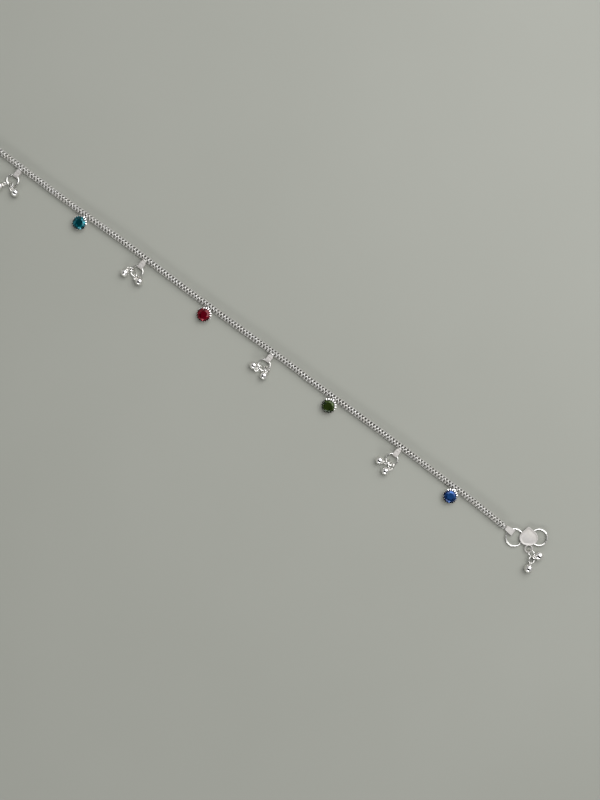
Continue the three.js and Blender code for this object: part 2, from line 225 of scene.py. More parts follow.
# %% [markdown]
# ## Silver finishes
#
# The same metal is finished in three ways on this anklet. Bells and rings are polished. The
# flat plates and tags are whitened: an acid bath leaves fine silver grains on them, which
# scatter light almost like paper, so that finish is only partly metallic in the shader. The
# chain is bright drawn wire. How far a point lies inside the weave is stored on its mesh, and
# the points far inside are painted dark grey: painted shade between the wires, with the tarnish that
# collects there.


# %% Polished, whitened and chain silver
def new_material(name):
    material = bpy.data.materials.new(name)
    material.use_nodes = True
    tree = material.node_tree
    return material, tree, tree.nodes["Principled BSDF"]


def silver(name, metallic, **values):
    """A silver whose wear comes from the shared group; values are the group's inputs."""
    material, tree, shader = new_material(name)
    wear = tree.nodes.new("ShaderNodeGroup")
    wear.node_tree = silver_wear
    for label, value in values.items():
        wear.inputs[label.replace("_", " ")].default_value = value
    shader.inputs["Metallic"].default_value = metallic
    tree.links.new(wear.outputs["Colour"], shader.inputs["Base Color"])
    tree.links.new(wear.outputs["Roughness"], shader.inputs["Roughness"])
    tree.links.new(wear.outputs["Normal"], shader.inputs["Normal"])
    return material, tree, shader, wear


polished_silver = silver(
    "polished_silver", 1.0,
    Colour=(0.93, 0.92, 0.90, 1), Tarnish=0.25, Roughness=0.04, Scratches=0.10, Relief=0.05,
)[0]
whitened_silver = silver(
    "whitened_silver", 0.35,
    Colour=(0.56, 0.54, 0.52, 1), Tarnish=0.14, Roughness=0.42, Scratches=0.15, Relief=0.5,
    Grain_Scale=9000.0,
)[0]
chain_silver, chain_tree, chain_shader, chain_wear = silver(
    "chain_silver", 0.55,
    Colour=(0.80, 0.79, 0.77, 1), Tarnish=0.3, Roughness=0.2, Scratches=0.15, Relief=0.2,
)
DEPTH = "depth"  # 0 on the outside of the weave, 1 at its heart
# Painted shade: points far inside the weave are coloured dark grey, for the shade between the wires and
# the tarnish that collects there.
depth = add_node(chain_tree, "ShaderNodeAttribute", {"attribute_name": DEPTH}).outputs["Fac"]
gap_shade_mask = ramp(chain_tree, depth, [(0.30, 0.0), (0.42, 1.0)])
gap_shade_and_tarnish = blend_colours(chain_tree, gap_shade_mask, chain_wear.outputs["Colour"], (0.20, 0.19, 0.175, 1))
chain_tree.links.new(gap_shade_and_tarnish, chain_shader.inputs["Base Color"])
print("silvers:", polished_silver.name, whitened_silver.name, chain_silver.name)

# %% [markdown]
# ## Foil-backed glass
#
# The stones are cut glass with a foil behind, so no light passes through them: it comes back
# off the foil, coloured. An opaque, partly metallic shader with a thin clear coat does the same. The
# cut facets send the light back in different strengths, and that light is painted: each facet carries
# its own painted brightness as a mesh attribute, which blends the glass from a shaded to a lit colour,
# and a little noise varies that painted brightness inside a facet.

# %% Four glass colours
FACET_SHINE = "facet"  # brightness of a facet, 0 to 1


def foiled_glass(name, shaded_colour, lit_colour):
    material, tree, shader = new_material(name)
    shader.inputs["Metallic"].default_value = 0.5
    shader.inputs["Specular IOR Level"].default_value = 0.3
    shader.inputs["Coat Weight"].default_value = 0.25
    shader.inputs["Coat Roughness"].default_value = 0.03
    place = tree.nodes.new("ShaderNodeTexCoord").outputs["Object"]
    shine_mottle = add_node(tree, "ShaderNodeTexNoise", None, Vector=place, Scale=900.0, Detail=3.0)
    # Painted reflection: each facet's stored brightness, varied a little by noise, blends the glass
    # from its shaded colour to its lit colour, for the light the foil sends back.
    facet = add_node(tree, "ShaderNodeAttribute", {"attribute_name": FACET_SHINE}).outputs["Fac"]
    level = maths(tree, "MULTIPLY", facet, maths(tree, "ADD", shine_mottle.outputs["Fac"], 0.5))
    colour = blend_colours(tree, maths(tree, "MINIMUM", level, 1.0), shaded_colour, lit_colour)
    tree.links.new(colour, shader.inputs["Base Color"])
    scuffs = add_node(tree, "ShaderNodeTexNoise", None, Vector=place, Scale=6000.0, Detail=4.0)
    rough = ramp(tree, scuffs.outputs["Fac"], [(0.45, 0.05), (0.8, 0.2)])
    tree.links.new(rough, shader.inputs["Roughness"])
    bump = add_node(
        tree, "ShaderNodeBump", None,
        Strength=0.08, Distance=0.01 * MM, Height=scuffs.outputs["Fac"],
    )
    tree.links.new(bump.outputs["Normal"], shader.inputs["Normal"])
    return material


glass = {
    "glass_navy": foiled_glass("glass_navy", (0.002, 0.010, 0.055, 1), (0.02, 0.09, 0.30, 1)),
    "glass_teal": foiled_glass("glass_teal", (0.0, 0.035, 0.045, 1), (0.005, 0.20, 0.25, 1)),
    "glass_red": foiled_glass("glass_red", (0.06, 0.0, 0.003, 1), (0.26, 0.003, 0.016, 1)),
    "glass_green": foiled_glass("glass_green", (0.004, 0.012, 0.001, 1), (0.045, 0.075, 0.012, 1)),
}
print("glass:", sorted(glass))

# %% [markdown]
# ## Reading places from the frame
#
# A wire ring in the frame is a doughnut of triangles. Its middle is the mean of its corners,
# and its axis is the direction in which those corners spread least. A bell's ball is found by
# fitting a sphere to the corners that lie on it; its eye is what sticks out beyond. So the
# frame says how every ring and bell lies, and nothing is typed twice.


# %% Measure rings and bells in the frame
def node_points(node):
    """The corners of a frame node, each one once."""
    corners = np.array([v.co[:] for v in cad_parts[node].data.vertices], float)
    return np.unique(corners.round(8), axis=0)


def least_spread(points):
    return Vector(np.linalg.svd(points - points.mean(axis=0), full_matrices=False)[2][2])


def measure_ring(node):
    points = node_points(node)
    centre = points.mean(axis=0)
    axis = least_spread(points)
    off = points - centre
    flat = off - np.outer(off @ np.array(axis), np.array(axis))
    reach = np.linalg.norm(flat, axis=1)
    radius = (reach.max() + reach.min()) / 2
    return Vector(centre), axis, radius, (reach.max() - reach.min()) / 2


def measure_bell(node, radius):
    points = node_points(node)
    centre = points.mean(axis=0)
    for _ in range(30):
        miss = abs(np.linalg.norm(points - centre, axis=1) - radius)
        on_ball = points[miss < np.quantile(miss, 0.6)]
        plane = np.c_[2 * on_ball, np.ones(len(on_ball))]
        centre = np.linalg.lstsq(plane, (on_ball**2).sum(axis=1), rcond=None)[0][:3]
    away = np.linalg.norm(points - centre, axis=1)
    eye = points[away > radius * 1.12]
    axis = (Vector(eye.mean(axis=0)) - Vector(centre)).normalized()
    facing = least_spread(eye)
    facing = (facing - axis * facing.dot(axis)).normalized()
    return Vector(centre), axis, facing


def pose(centre, axis, side=None):
    """A placement whose Z is the axis and whose X is as near to side as it can be."""
    side = Vector(side or (UP.cross(axis) if abs(axis.z) < 0.99 else (1, 0, 0)))
    side = (side - axis * side.dot(axis)).normalized()
    turn = Matrix((side, axis.cross(side), axis)).transposed()
    return Matrix.Translation(centre) @ turn.to_4x4()


for ring_name in ("drop_ring_1", "link_ring_1a", "closing_ring"):
    _, _, ring_radius, ring_wire = measure_ring(ring_name)
    print(ring_name, "radius", round(ring_radius / MM, 3), "wire", round(ring_wire / MM, 3))

# %% [markdown]
# ## Mesh helpers
#
# All new pieces are made with bmesh operators. Four helpers cover most of them: a wire that
# follows points, a wire ring, a turned (lathe) shape, and the step that turns a finished bmesh
# into an object that rides on the frame and stands for one of its nodes.


# %% Helpers that build meshes
def wire_along(bm, points, radius, sides, closed=False, ends=1.0):
    """Sweeps a round section through points. ends is the size of the last section at each end."""
    points = [Vector(p) for p in points]
    count = len(points)
    ways = []
    for i in range(count):
        before = points[i - 1] if closed or i else points[i]
        after = points[(i + 1) % count] if closed or i + 1 < count else points[i]
        ways.append((after - before).normalized())
    poses = [pose(points[0], ways[0])]
    for i in range(1, count):
        turn = ways[i - 1].rotation_difference(ways[i]).to_matrix().to_4x4()
        last = poses[-1].copy()
        last.translation = (0, 0, 0)
        poses.append(Matrix.Translation(points[i]) @ turn @ last)
    first = bmesh.ops.create_circle(bm, segments=sides, radius=radius, matrix=poses[0])["verts"]
    first_edges = list({e for v in first for e in v.link_edges})
    edges = first_edges
    verts = first
    for i in range(1, count):
        grown = bmesh.ops.extrude_edge_only(bm, edges=edges)["geom"]
        verts = [g for g in grown if isinstance(g, bmesh.types.BMVert)]
        edges = [g for g in grown if isinstance(g, bmesh.types.BMEdge)]
        bmesh.ops.transform(bm, verts=verts, matrix=poses[i] @ poses[i - 1].inverted())
    if closed:
        bmesh.ops.bridge_loops(bm, edges=first_edges + edges)
        return
    for loop, verts_here, at in ((first_edges, first, poses[0]), (edges, verts, poses[-1])):
        if ends < 1:
            out = ways[-1] if at is poses[-1] else -ways[0]
            bmesh.ops.scale(bm, verts=verts_here, vec=(ends,) * 3, space=at.inverted())
            bmesh.ops.translate(bm, verts=verts_here, vec=out * radius * 0.5)
        bmesh.ops.holes_fill(bm, edges=loop, sides=0)


def turned(bm, profile, steps, matrix):
    """Spins a profile of (radius, height) points a full turn about Z, then places it."""
    verts = [bm.verts.new((r, 0, z)) for r, z in profile]
    edges = [bm.edges.new(pair) for pair in zip(verts, verts[1:])]
    made = set(bm.verts)
    bmesh.ops.spin(
        bm, geom=verts + edges, cent=(0, 0, 0), axis=(0, 0, 1),
        angle=2 * math.pi, steps=steps, use_merge=True,
    )
    new = verts + [v for v in bm.verts if v not in made]
    bmesh.ops.remove_doubles(bm, verts=new, dist=0.0005 * MM)
    new = [v for v in new if v.is_valid]
    faces = list({f for v in new for f in v.link_faces})
    bmesh.ops.recalc_face_normals(bm, faces=faces)
    bmesh.ops.transform(bm, verts=new, matrix=matrix)


def finish_piece(bm, name, nodes, material, smooth=True, bevel=None):
    """Turns a bmesh into an object that stands for frame nodes."""
    mesh = bpy.data.meshes.new(name)
    for face in bm.faces:
        face.smooth = smooth
    bm.to_mesh(mesh)
    bm.free()
    mesh.materials.append(material)
    piece = bpy.data.objects.new(name, mesh)
    bpy.context.scene.collection.objects.link(piece)
    if bevel:
        rounding = piece.modifiers.new("rounded_edges", "BEVEL")
        rounding.width = bevel
        rounding.segments = 2
        rounding.limit_method = "ANGLE"
        rounding.angle_limit = math.radians(35)
        rounding.harden_normals = True
    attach(piece, "root")
    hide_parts(*nodes)
    return piece


# %% [markdown]
# ## The woven chain
#
# The chain is woven from small closed loops of wire. Each loop is folded over in the middle, so
# that its two tips point forwards on opposite sides. A second row of loops, turned a quarter
# round and half a step on, fills the gaps of the first. The whole chain lies rolled by a little
# under an eighth of a turn, so from above the wires cross along its middle, with a row of dark
# holes on each side.
#
# One folded loop is swept once with few faces, because there are more than four hundred of
# them. Copies are then placed along the frame's own chain, whose middle line is the mean of
# each of its eight-cornered slices. A slow twist is added, as a real chain never lies flat.
# No loop may stand out past the frame's tube, so a loop's corners are drawn in where needed.

# %% One folded loop of wire
LINK_WIRE = 0.15 * MM
LINK_REACH = 1.0 * MM  # from the fold to the tips
LINK_RISE = 0.85 * MM  # how far each tip stands off the middle of the chain
LINK_WIDTH = 0.80 * MM
LINK_PITCH = 1.165 * MM
LINK_STEPS = 16
LINK_LIMIT = 0.87 * MM  # the wire's middle stays this close to the chain's, inside its round outline


def folded_loop():
    points = []
    for step in range(LINK_STEPS):
        round_angle = 2 * math.pi * step / LINK_STEPS
        fold_angle = math.cos(round_angle) * math.pi / 2
        side = LINK_WIDTH * math.sin(round_angle)
        rise = LINK_RISE * math.sin(fold_angle)
        inside = min(1.0, LINK_LIMIT / math.hypot(side, rise))
        points.append((LINK_REACH * (1 - math.cos(fold_angle)), side * inside, rise * inside))
    bm = bmesh.new()
    wire_along(bm, points, LINK_WIRE, 4, closed=True)
    bmesh.ops.recalc_face_normals(bm, faces=bm.faces)
    mesh = bpy.data.meshes.new("folded_loop")
    bm.to_mesh(mesh)
    bm.free()
    return mesh


loop_mesh = folded_loop()
print("one loop:", len(loop_mesh.polygons), "faces")

# %% The chain's middle line, from the frame
SECTION_SIDES = 8
chain_points = node_points("chain")
chain_points = chain_points[chain_points[:, 0].argsort()]
middle_line = chain_points.reshape(-1, SECTION_SIDES, 3).mean(axis=1)
CHAIN_RADIUS = (chain_hi.z - chain_lo.z) / 2


def on_chain(x):
    """The middle of the chain at x, and the way it runs there."""
    here = Vector([x] + [np.interp(x, middle_line[:, 0], middle_line[:, i]) for i in (1, 2)])
    ahead = x + 2 * MM
    further = Vector([ahead] + [np.interp(ahead, middle_line[:, 0], middle_line[:, i]) for i in (1, 2)])
    if ahead > middle_line[-1, 0]:
        return here, Vector((1, 0, 0))
    return here, (further - here).normalized()


print("chain slices:", len(middle_line))

# %% Weave the chain
random.seed(7)


def add_copy(bm, mesh, matrix):
    known = len(bm.verts)
    bm.from_mesh(mesh)
    bm.verts.ensure_lookup_table()
    new = bm.verts[known:]
    bmesh.ops.transform(bm, verts=new, matrix=matrix)
    return new


def chain_roll(x):
    """The chain's slow twist, in radians."""
    run = (x - chain_lo.x) / MM
    return math.radians(42 + 6 * math.sin(run / 13.5) + 3 * math.sin(run / 5.1 + 1))


def woven_chain():
    bm = bmesh.new()
    layer = bm.verts.layers.float.new(DEPTH)
    row_ends = chain_hi.x - LINK_REACH - LINK_WIRE
    x = chain_lo.x + LINK_WIRE
    turn = 0
    while x < row_ends:
        here, way = on_chain(x)
        wobble = math.radians(random.uniform(-4, 4))
        roll = chain_roll(x) + turn * math.pi / 2 + wobble
        new = add_copy(bm, loop_mesh, pose_along(here, way, roll))
        for vert in new:
            # Store how far each corner lies inside the weave; the chain's shader paints shade from it.
            middle, _ = on_chain(vert.co.x)
            off = (vert.co - middle).length / CHAIN_RADIUS
            vert[layer] = max(0.0, min(1.0, 1.15 - off))
        x += LINK_PITCH / 2
        turn = 1 - turn
    return bm


def pose_along(here, way, roll):
    """A placement whose X runs along the chain, rolled about it."""
    side = UP.cross(way).normalized()
    turn = Matrix((way, side, way.cross(side))).transposed().to_4x4()
    return Matrix.Translation(here) @ turn @ Matrix.Rotation(roll, 4, "X")


chain_bm = woven_chain()
print("chain faces:", len(chain_bm.faces))

# %% [markdown]
# Each hanging piece is soldered to the chain, and the last loops are closed with a drop of
# solder. A solder drop is a small ball, pressed flat, that sinks into the weave.

# %% Drops of solder on the chain
SOLDER_RADIUS = 0.42 * MM
END_SOLDER_RADIUS = 0.45 * MM


def solder_drop(bm, place, size, radius=SOLDER_RADIUS):
    layer = bm.verts.layers.float.get(DEPTH)
    stretch = Matrix.Diagonal((*size, 1))
    made = bmesh.ops.create_uvsphere(
        bm, u_segments=12, v_segments=8, radius=radius, matrix=Matrix.Translation(place) @ stretch,
    )
    # Solder lies on the outside of the weave, so it gets none of the painted shade.
    for vert in made["verts"]:
        if layer:
            vert[layer] = 0.0


for end_x in (chain_lo.x + END_SOLDER_RADIUS, chain_hi.x - END_SOLDER_RADIUS):
    drop_place, _ = on_chain(end_x)
    solder_drop(chain_bm, drop_place, (1.0, 1.3, 1.3), END_SOLDER_RADIUS)
for number in range(1, 5):
    hanger_lo, hanger_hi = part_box(f"hanger_{number}")
    drop_place, _ = on_chain((hanger_lo.x + hanger_hi.x) / 2)
    drop_place += Vector((0, -CHAIN_RADIUS * 0.72, CHAIN_RADIUS * 0.35))
    solder_drop(chain_bm, drop_place, (1.7, 0.7, 0.8))
chain_piece = finish_piece(chain_bm, "woven_chain", ["chain"], chain_silver)
print("woven chain done:", len(chain_piece.data.polygons), "faces")

# %% [markdown]
# ## Claw settings
#
# A setting is a little flared cup of silver. Its rim is cut into a ring of claws that are
# pushed over the edge of the stone. The cup is turned, then the claws are grown from every
# other face of its rim: one step that leans outwards and one bent in over the stone. The rim
# itself stays below the glass, so the glass shows between the claws. A flat tab on the chain's
# side joins it to the weave.

# %% Build the settings
CLAWS = 18
CUP_BASE = 1.33 * MM
CUP_RIM = 2.33 * MM
CUP_HEIGHT = 1.5 * MM
CUP_WALL = 0.13 * MM
CUP_FLOOR = 0.35 * MM
CLAW_RISE = 0.42 * MM
CLAW_SPREAD = 0.17 * MM  # how far a claw leans out before it bends in
CLAW_BEND = 0.46 * MM


def rim_faces(bm, centre, height):
    top = [f for f in bm.faces if f.normal.z > 0.7 and f.calc_center_median().z > height]
    return sorted(top, key=lambda f: math.atan2(*(f.calc_center_median() - centre).yx))


def grow_claw(bm, face, rise, inward, narrow):
    """Lifts a face of the rim and moves it towards the cup's middle."""
    grown = bmesh.ops.extrude_discrete_faces(bm, faces=[face])["faces"][0]
    middle = grown.calc_center_median()
    bmesh.ops.translate(bm, verts=grown.verts, vec=(0, 0, rise))
    flat = Vector((middle.x, middle.y, 0))
    bmesh.ops.translate(bm, verts=grown.verts, vec=-flat.normalized() * inward)
    centre = grown.calc_center_median()
    bmesh.ops.scale(
        bm, verts=grown.verts, vec=(narrow, narrow, 1), space=Matrix.Translation(-centre),
    )
    return grown


def claw_cup():
    bm = bmesh.new()
    inner_base = CUP_BASE - CUP_WALL
    profile = [
        (0, 0), (CUP_BASE, 0), (1.62 * MM, 0.55 * MM), (2.05 * MM, 1.0 * MM), (CUP_RIM, CUP_HEIGHT),
        (CUP_RIM - CUP_WALL, CUP_HEIGHT), (1.9 * MM, 1.0 * MM), (inner_base, CUP_FLOOR), (0, CUP_FLOOR),
    ]
    turned(bm, profile, CLAWS * 2, Matrix.Identity(4))
    bm.normal_update()
    rim = rim_faces(bm, Vector((0, 0, 0)), CUP_HEIGHT - 0.05 * MM)
    for face in rim[::2]:
        step = grow_claw(bm, face, CLAW_RISE, -CLAW_SPREAD, 0.9)
        grow_claw(bm, step, 0.12 * MM, CLAW_BEND, 0.4)
    return bm


def add_tab(bm, reach):
    """A flat silver tab from the cup's shoulder to the chain."""
    made = bmesh.ops.create_cube(bm, size=1.0)["verts"]
    start = 1.5 * MM
    shape = Matrix.Diagonal((1.1 * MM, reach - start, 0.35 * MM, 1))
    place = Matrix.Translation((0, (reach + start) / 2, 1.55 * MM))
    bmesh.ops.transform(bm, verts=made, matrix=place @ shape)


def setting_piece(number):
    lo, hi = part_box(f"setting_{number}")
    stone_lo, stone_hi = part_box(f"stone_{number}")
    centre = Vector(((stone_lo.x + stone_hi.x) / 2, (stone_lo.y + stone_hi.y) / 2, lo.z))
    bm = claw_cup()
    chain_here, _ = on_chain(centre.x)
    add_tab(bm, chain_here.y - centre.y - 0.35 * MM)
    solder_drop(bm, (0, chain_here.y - centre.y - 0.75 * MM, 1.5 * MM), (1.3, 0.8, 0.7))
    bmesh.ops.translate(bm, verts=bm.verts, vec=centre)
    name = f"claw_setting_{number}"
    node = f"setting_{number}"
    return finish_piece(bm, name, [node], polished_silver, bevel=0.05 * MM), centre


setting_centres = {}
for number in range(1, 6):
    claw_setting, setting_centres[number] = setting_piece(number)
print("settings:", len(setting_centres), "of", len(claw_setting.data.polygons), "faces")

# %% [markdown]
# ## Cut stones
#
# Each stone is a round glass brilliant. The crown starts as a cone with its point cut off; the
# small upper ring is then turned by half a step, so that every sloping side creases into two
# triangles. That is the simplest round cut there is, and it gives the same busy sparkle.

# %% Build the stones
STONE_SIDES = 12
STONE_GIRDLE = 2.26 * MM
STONE_TABLE = 1.1 * MM
STONE_BELT_Z = 1.68 * MM
STONE_CROWN = 0.58 * MM
GLASS_OF = {1: "glass_navy", 2: "glass_teal", 3: "glass_red", 4: "glass_green", 5: "glass_navy"}


def cut_stone(number):
    bm = bmesh.new()
    bmesh.ops.create_circle(bm, cap_ends=True, segments=STONE_SIDES, radius=STONE_GIRDLE)
    bm.faces.ensure_lookup_table()
    top = bm.faces[0]
    bmesh.ops.translate(bm, verts=bm.verts, vec=(0, 0, STONE_BELT_Z))
    half_step = Matrix.Rotation(math.pi / STONE_SIDES, 4, "Z")
    for scale, rise in ((0.76, 0.66), (STONE_TABLE / STONE_GIRDLE / 0.76, 0.34)):
        grown = bmesh.ops.extrude_discrete_faces(bm, faces=[top])["faces"]
        top = grown[0]
        bmesh.ops.scale(bm, verts=top.verts, vec=(scale, scale, 1))
        bmesh.ops.rotate(bm, verts=top.verts, cent=(0, 0, 0), matrix=half_step.to_3x3())
        bmesh.ops.translate(bm, verts=top.verts, vec=(0, 0, STONE_CROWN * rise))
    belt = [e for e in bm.edges if e.is_boundary]
    grown = bmesh.ops.extrude_edge_only(bm, edges=belt)["geom"]
    lower = [g for g in grown if isinstance(g, bmesh.types.BMVert)]
    bmesh.ops.translate(bm, verts=lower, vec=(0, 0, -0.16 * MM))
    lower_edges = [g for g in grown if isinstance(g, bmesh.types.BMEdge)]
    grown = bmesh.ops.extrude_edge_only(bm, edges=lower_edges)["geom"]
    tip = [g for g in grown if isinstance(g, bmesh.types.BMVert)]
    bmesh.ops.scale(bm, verts=tip, vec=(0.35, 0.35, 1))
    bmesh.ops.translate(bm, verts=tip, vec=(0, 0, -0.75 * MM))
    bmesh.ops.holes_fill(bm, edges=[g for g in grown if isinstance(g, bmesh.types.BMEdge)], sides=0)
    bmesh.ops.triangulate(bm, faces=[f for f in bm.faces if len(f.verts) == 4])
    bmesh.ops.recalc_face_normals(bm, faces=bm.faces)
    # Each facet gets a random painted brightness, for the light its foil sends back.
    layer = bm.loops.layers.float_color.new(FACET_SHINE)
    chance = random.Random(number * 11)
    for face in bm.faces:
        level = chance.choice((0.0, 0.1, 0.2, 0.35, 0.6, 1.0))
        for corner in face.loops:
            corner[layer] = (level, level, level, 1)
    turn = Matrix.Rotation(math.radians(17 * number), 4, "Z")
    bmesh.ops.transform(bm, verts=bm.verts, matrix=Matrix.Translation(setting_centres[number]) @ turn)
    slot = GLASS_OF[number]
    return finish_piece(bm, f"cut_stone_{number}", [f"stone_{number}"], glass[slot], smooth=False)


for number in range(1, 6):
    stone_piece = cut_stone(number)
print("stones of", len(stone_piece.data.polygons), "facets")

# %% [markdown]
# ## Wire rings
#
# A jump ring is a piece of round wire bent into a circle until its ends meet. It is a round
# section spun about the ring's axis. The small links keep the fine cut where their ends meet,
# so they are spun a little less than a full turn and their two ends are closed.


# %% Build every ring
RING_CUT = 0.05 * MM  # the gap where a jump ring's ends meet


def ring_mesh(bm, radius, wire, matrix, cut_gap=0.0, steps=56, sides=12):
    section = bmesh.ops.create_circle(
        bm, segments=sides, radius=wire,
        matrix=Matrix.Translation((radius, 0, 0)) @ Matrix.Rotation(math.pi / 2, 4, "X"),
    )["verts"]
    edges = list({e for v in section for e in v.link_edges})
    angle = 2 * math.pi - cut_gap / radius
    made = bmesh.ops.spin(
        bm, geom=section + edges, cent=(0, 0, 0), axis=(0, 0, 1),
        angle=angle, steps=steps, use_merge=cut_gap == 0,
    )
    if cut_gap:
        last = [g for g in made["geom_last"] if isinstance(g, bmesh.types.BMEdge)]
        bmesh.ops.holes_fill(bm, edges=edges, sides=0)
        bmesh.ops.holes_fill(bm, edges=last, sides=0)
    bmesh.ops.recalc_face_normals(bm, faces=bm.faces)
    bmesh.ops.transform(bm, verts=bm.verts, matrix=matrix)


def ring_piece(node, name, cut_gap=0.0, cut_turn=0.0):
    centre, axis, radius, wire = measure_ring(node)
    bm = bmesh.new()
    ring_mesh(bm, radius, wire, pose(centre, axis) @ Matrix.Rotation(cut_turn, 4, "Z"), cut_gap)
    finish_piece(bm, name, [node], polished_silver)


rings_made = 0
for number in range(1, 5):
    ring_piece(f"drop_ring_{number}", f"hanging_ring_{number}")
    for letter in "ab":
        ring_piece(f"link_ring_{number}{letter}", f"jump_ring_{number}{letter}", RING_CUT, number * 1.3)
        rings_made += 1
ring_piece("clasp_ring", "clasp_hanging_ring", RING_CUT, 2.0)
ring_piece("clasp_link", "clasp_jump_ring", RING_CUT, 0.7)
ring_piece("closing_ring", "plain_closing_ring")
print("jump rings:", rings_made + 2)

# %% [markdown]
# ## Bells
#
# A payal bell is pressed in two half balls and soldered together, so a fine seam runs round its
# waist. On top it has a short neck and a wire eye. The ball is turned from one profile that
# dips at the seam and rises into the neck, and the eye is a small ring joined to it.

# %% Build every bell
SEAM_DIP = 0.035 * MM
SEAM_HALF = 0.07 * MM
NECK_HEIGHT = 0.27 * MM
BELL_BALL = 1.35 * MM
BELL_NECK = 0.42 * MM
CLASP_BALL = 1.5 * MM
CLASP_NECK = 0.45 * MM
EYE_RADIUS = 0.55 * MM
EYE_WIRE = 0.15 * MM


def bell_profile(ball, neck):
    """Bottom of the ball to the top of the neck, as (radius, height)."""
    points = []
    neck_angle = math.acos(neck / ball)
    steps = 22
    for step in range(steps + 1):
        angle = -math.pi / 2 + (neck_angle + math.pi / 2) * step / steps
        height = ball * math.sin(angle)
        if abs(height) > SEAM_HALF * 1.5:
            points.append((ball * math.cos(angle), height))
    seam = [
        (ball - 0.004 * MM, -SEAM_HALF), (ball - SEAM_DIP, -SEAM_HALF * 0.4),
        (ball - SEAM_DIP, SEAM_HALF * 0.4), (ball - 0.004 * MM, SEAM_HALF),
    ]
    below = [p for p in points if p[1] < 0]
    above = [p for p in points if p[1] > 0]
    collar = above[-1][1]
    top = [
        (neck * 0.86, collar + 0.06 * MM), (neck * 0.8, collar + 0.2 * MM),
        (neck * 0.45, collar + NECK_HEIGHT), (0, collar + NECK_HEIGHT),
    ]
    return [(0, -ball)] + below[1:] + seam + above + top


def bell_piece(node, name, ball, neck, eye, wire):
    centre, axis, facing = measure_bell(node, ball)
    bm = bmesh.new()
    turned(bm, bell_profile(ball, neck), 40, pose(centre, axis))
    eye_bm = bmesh.new()
    eye_centre = centre + axis * (ball + eye - 0.2 * MM)
    ring_mesh(eye_bm, eye, wire, pose(eye_centre, facing, axis), steps=28, sides=8)
    eye_mesh = bpy.data.meshes.new("eye")
    eye_bm.to_mesh(eye_mesh)
    eye_bm.free()
    bm.from_mesh(eye_mesh)
    return finish_piece(bm, name, [node], polished_silver)


for number in range(1, 5):
    for letter in "ab":
        bell = bell_piece(
            f"bell_{number}{letter}", f"small_bell_{number}{letter}",
            BELL_BALL, BELL_NECK, EYE_RADIUS, EYE_WIRE,
        )
for letter in "ab":
    bell = bell_piece(
        f"clasp_bell_{letter}", f"clasp_small_bell_{letter}",
        CLASP_BALL, CLASP_NECK, EYE_RADIUS, EYE_WIRE,
    )
print("each bell:", len(bell.data.polygons), "faces")

# %% [markdown]
# ## Hangers
#
# Between the stones a flat strip of silver is doubled over into a loop that holds a ring. It is
# made as a band: one edge as wide as the strip is drawn out straight, spun half a turn round
# the ring, drawn back and spun to close. The band then gets its thickness.


# %% A band that doubles back on itself
def folded_band(width, start, straight, half, wall, bend_steps=10):
    """A closed band seen end on in YZ: its middle line starts at y = start and runs to -Y."""
    bm = bmesh.new()
    top = half * 2 - wall / 2
    verts = [bm.verts.new((x, start, top)) for x in (-width / 2, 0, width / 2)]
    edges = [bm.edges.new(pair) for pair in zip(verts, verts[1:])]

    def new_edges(geom):
        return [g for g in geom if isinstance(g, bmesh.types.BMEdge)]

    def draw_out(edges, distance):
        grown = bmesh.ops.extrude_edge_only(bm, edges=edges)["geom"]
        moved = [g for g in grown if isinstance(g, bmesh.types.BMVert)]
        bmesh.ops.translate(bm, verts=moved, vec=(0, distance, 0))
        return new_edges(grown)

    def bend(edges, y):
        ends = {v for e in edges for v in e.verts}
        made = bmesh.ops.spin(
            bm, geom=list(ends) + edges, cent=(0, y, half), axis=(1, 0, 0),
            angle=math.pi, steps=bend_steps,
        )
        return new_edges(made["geom_last"])

    edges = draw_out(edges, -straight)
    edges = bend(edges, start - straight)
    edges = draw_out(edges, straight)
    bend(edges, start)
    bmesh.ops.remove_doubles(bm, verts=bm.verts, dist=0.01 * MM)
    bmesh.ops.recalc_face_normals(bm, faces=bm.faces)
    bmesh.ops.solidify(bm, geom=bm.faces, thickness=wall)
    return bm


# %% Build the hangers
STRIP_WALL = 0.25 * MM


def hanger_piece(number):
    lo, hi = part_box(f"hanger_{number}")
    chain_here, _ = on_chain((lo.x + hi.x) / 2)
    half = (hi.z - lo.z) / 2
    near = chain_here.y - CHAIN_RADIUS - 0.1 * MM
    straight = near - lo.y - 2 * half
    bm = folded_band((hi.x - lo.x) * 0.98, near - half, straight, half, STRIP_WALL)
    bmesh.ops.translate(bm, verts=bm.verts, vec=((lo.x + hi.x) / 2, 0, lo.z - STRIP_WALL / 2))
    tongue = bmesh.ops.create_cube(bm, size=1.0)["verts"]
    shape = Matrix.Diagonal(((hi.x - lo.x) * 0.8, 1.0 * MM, STRIP_WALL * 0.9, 1))
    place = Matrix.Translation(((lo.x + hi.x) / 2, hi.y - 0.5 * MM, hi.z - STRIP_WALL / 2))
    bmesh.ops.transform(bm, verts=tongue, matrix=place @ shape)
    return finish_piece(
        bm, f"folded_hanger_{number}", [f"hanger_{number}"], whitened_silver,
        bevel=0.06 * MM,
    )


for number in range(1, 5):
    hanger = hanger_piece(number)
    measured = [round((b - a) / MM, 2) for a, b in zip(*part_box(f"hanger_{number}"))]
print("hangers:", len(hanger.data.polygons), "faces, frame box", measured)

# %% [markdown]
# ## End tags
#
# At each end of the chain a strip is folded round the clasp's wire. It is the same band, lying
# the other way, and it flares from the chain outwards, so its width is stretched step by step.


# %% Build the end tags
TAG_WALL = 0.22 * MM


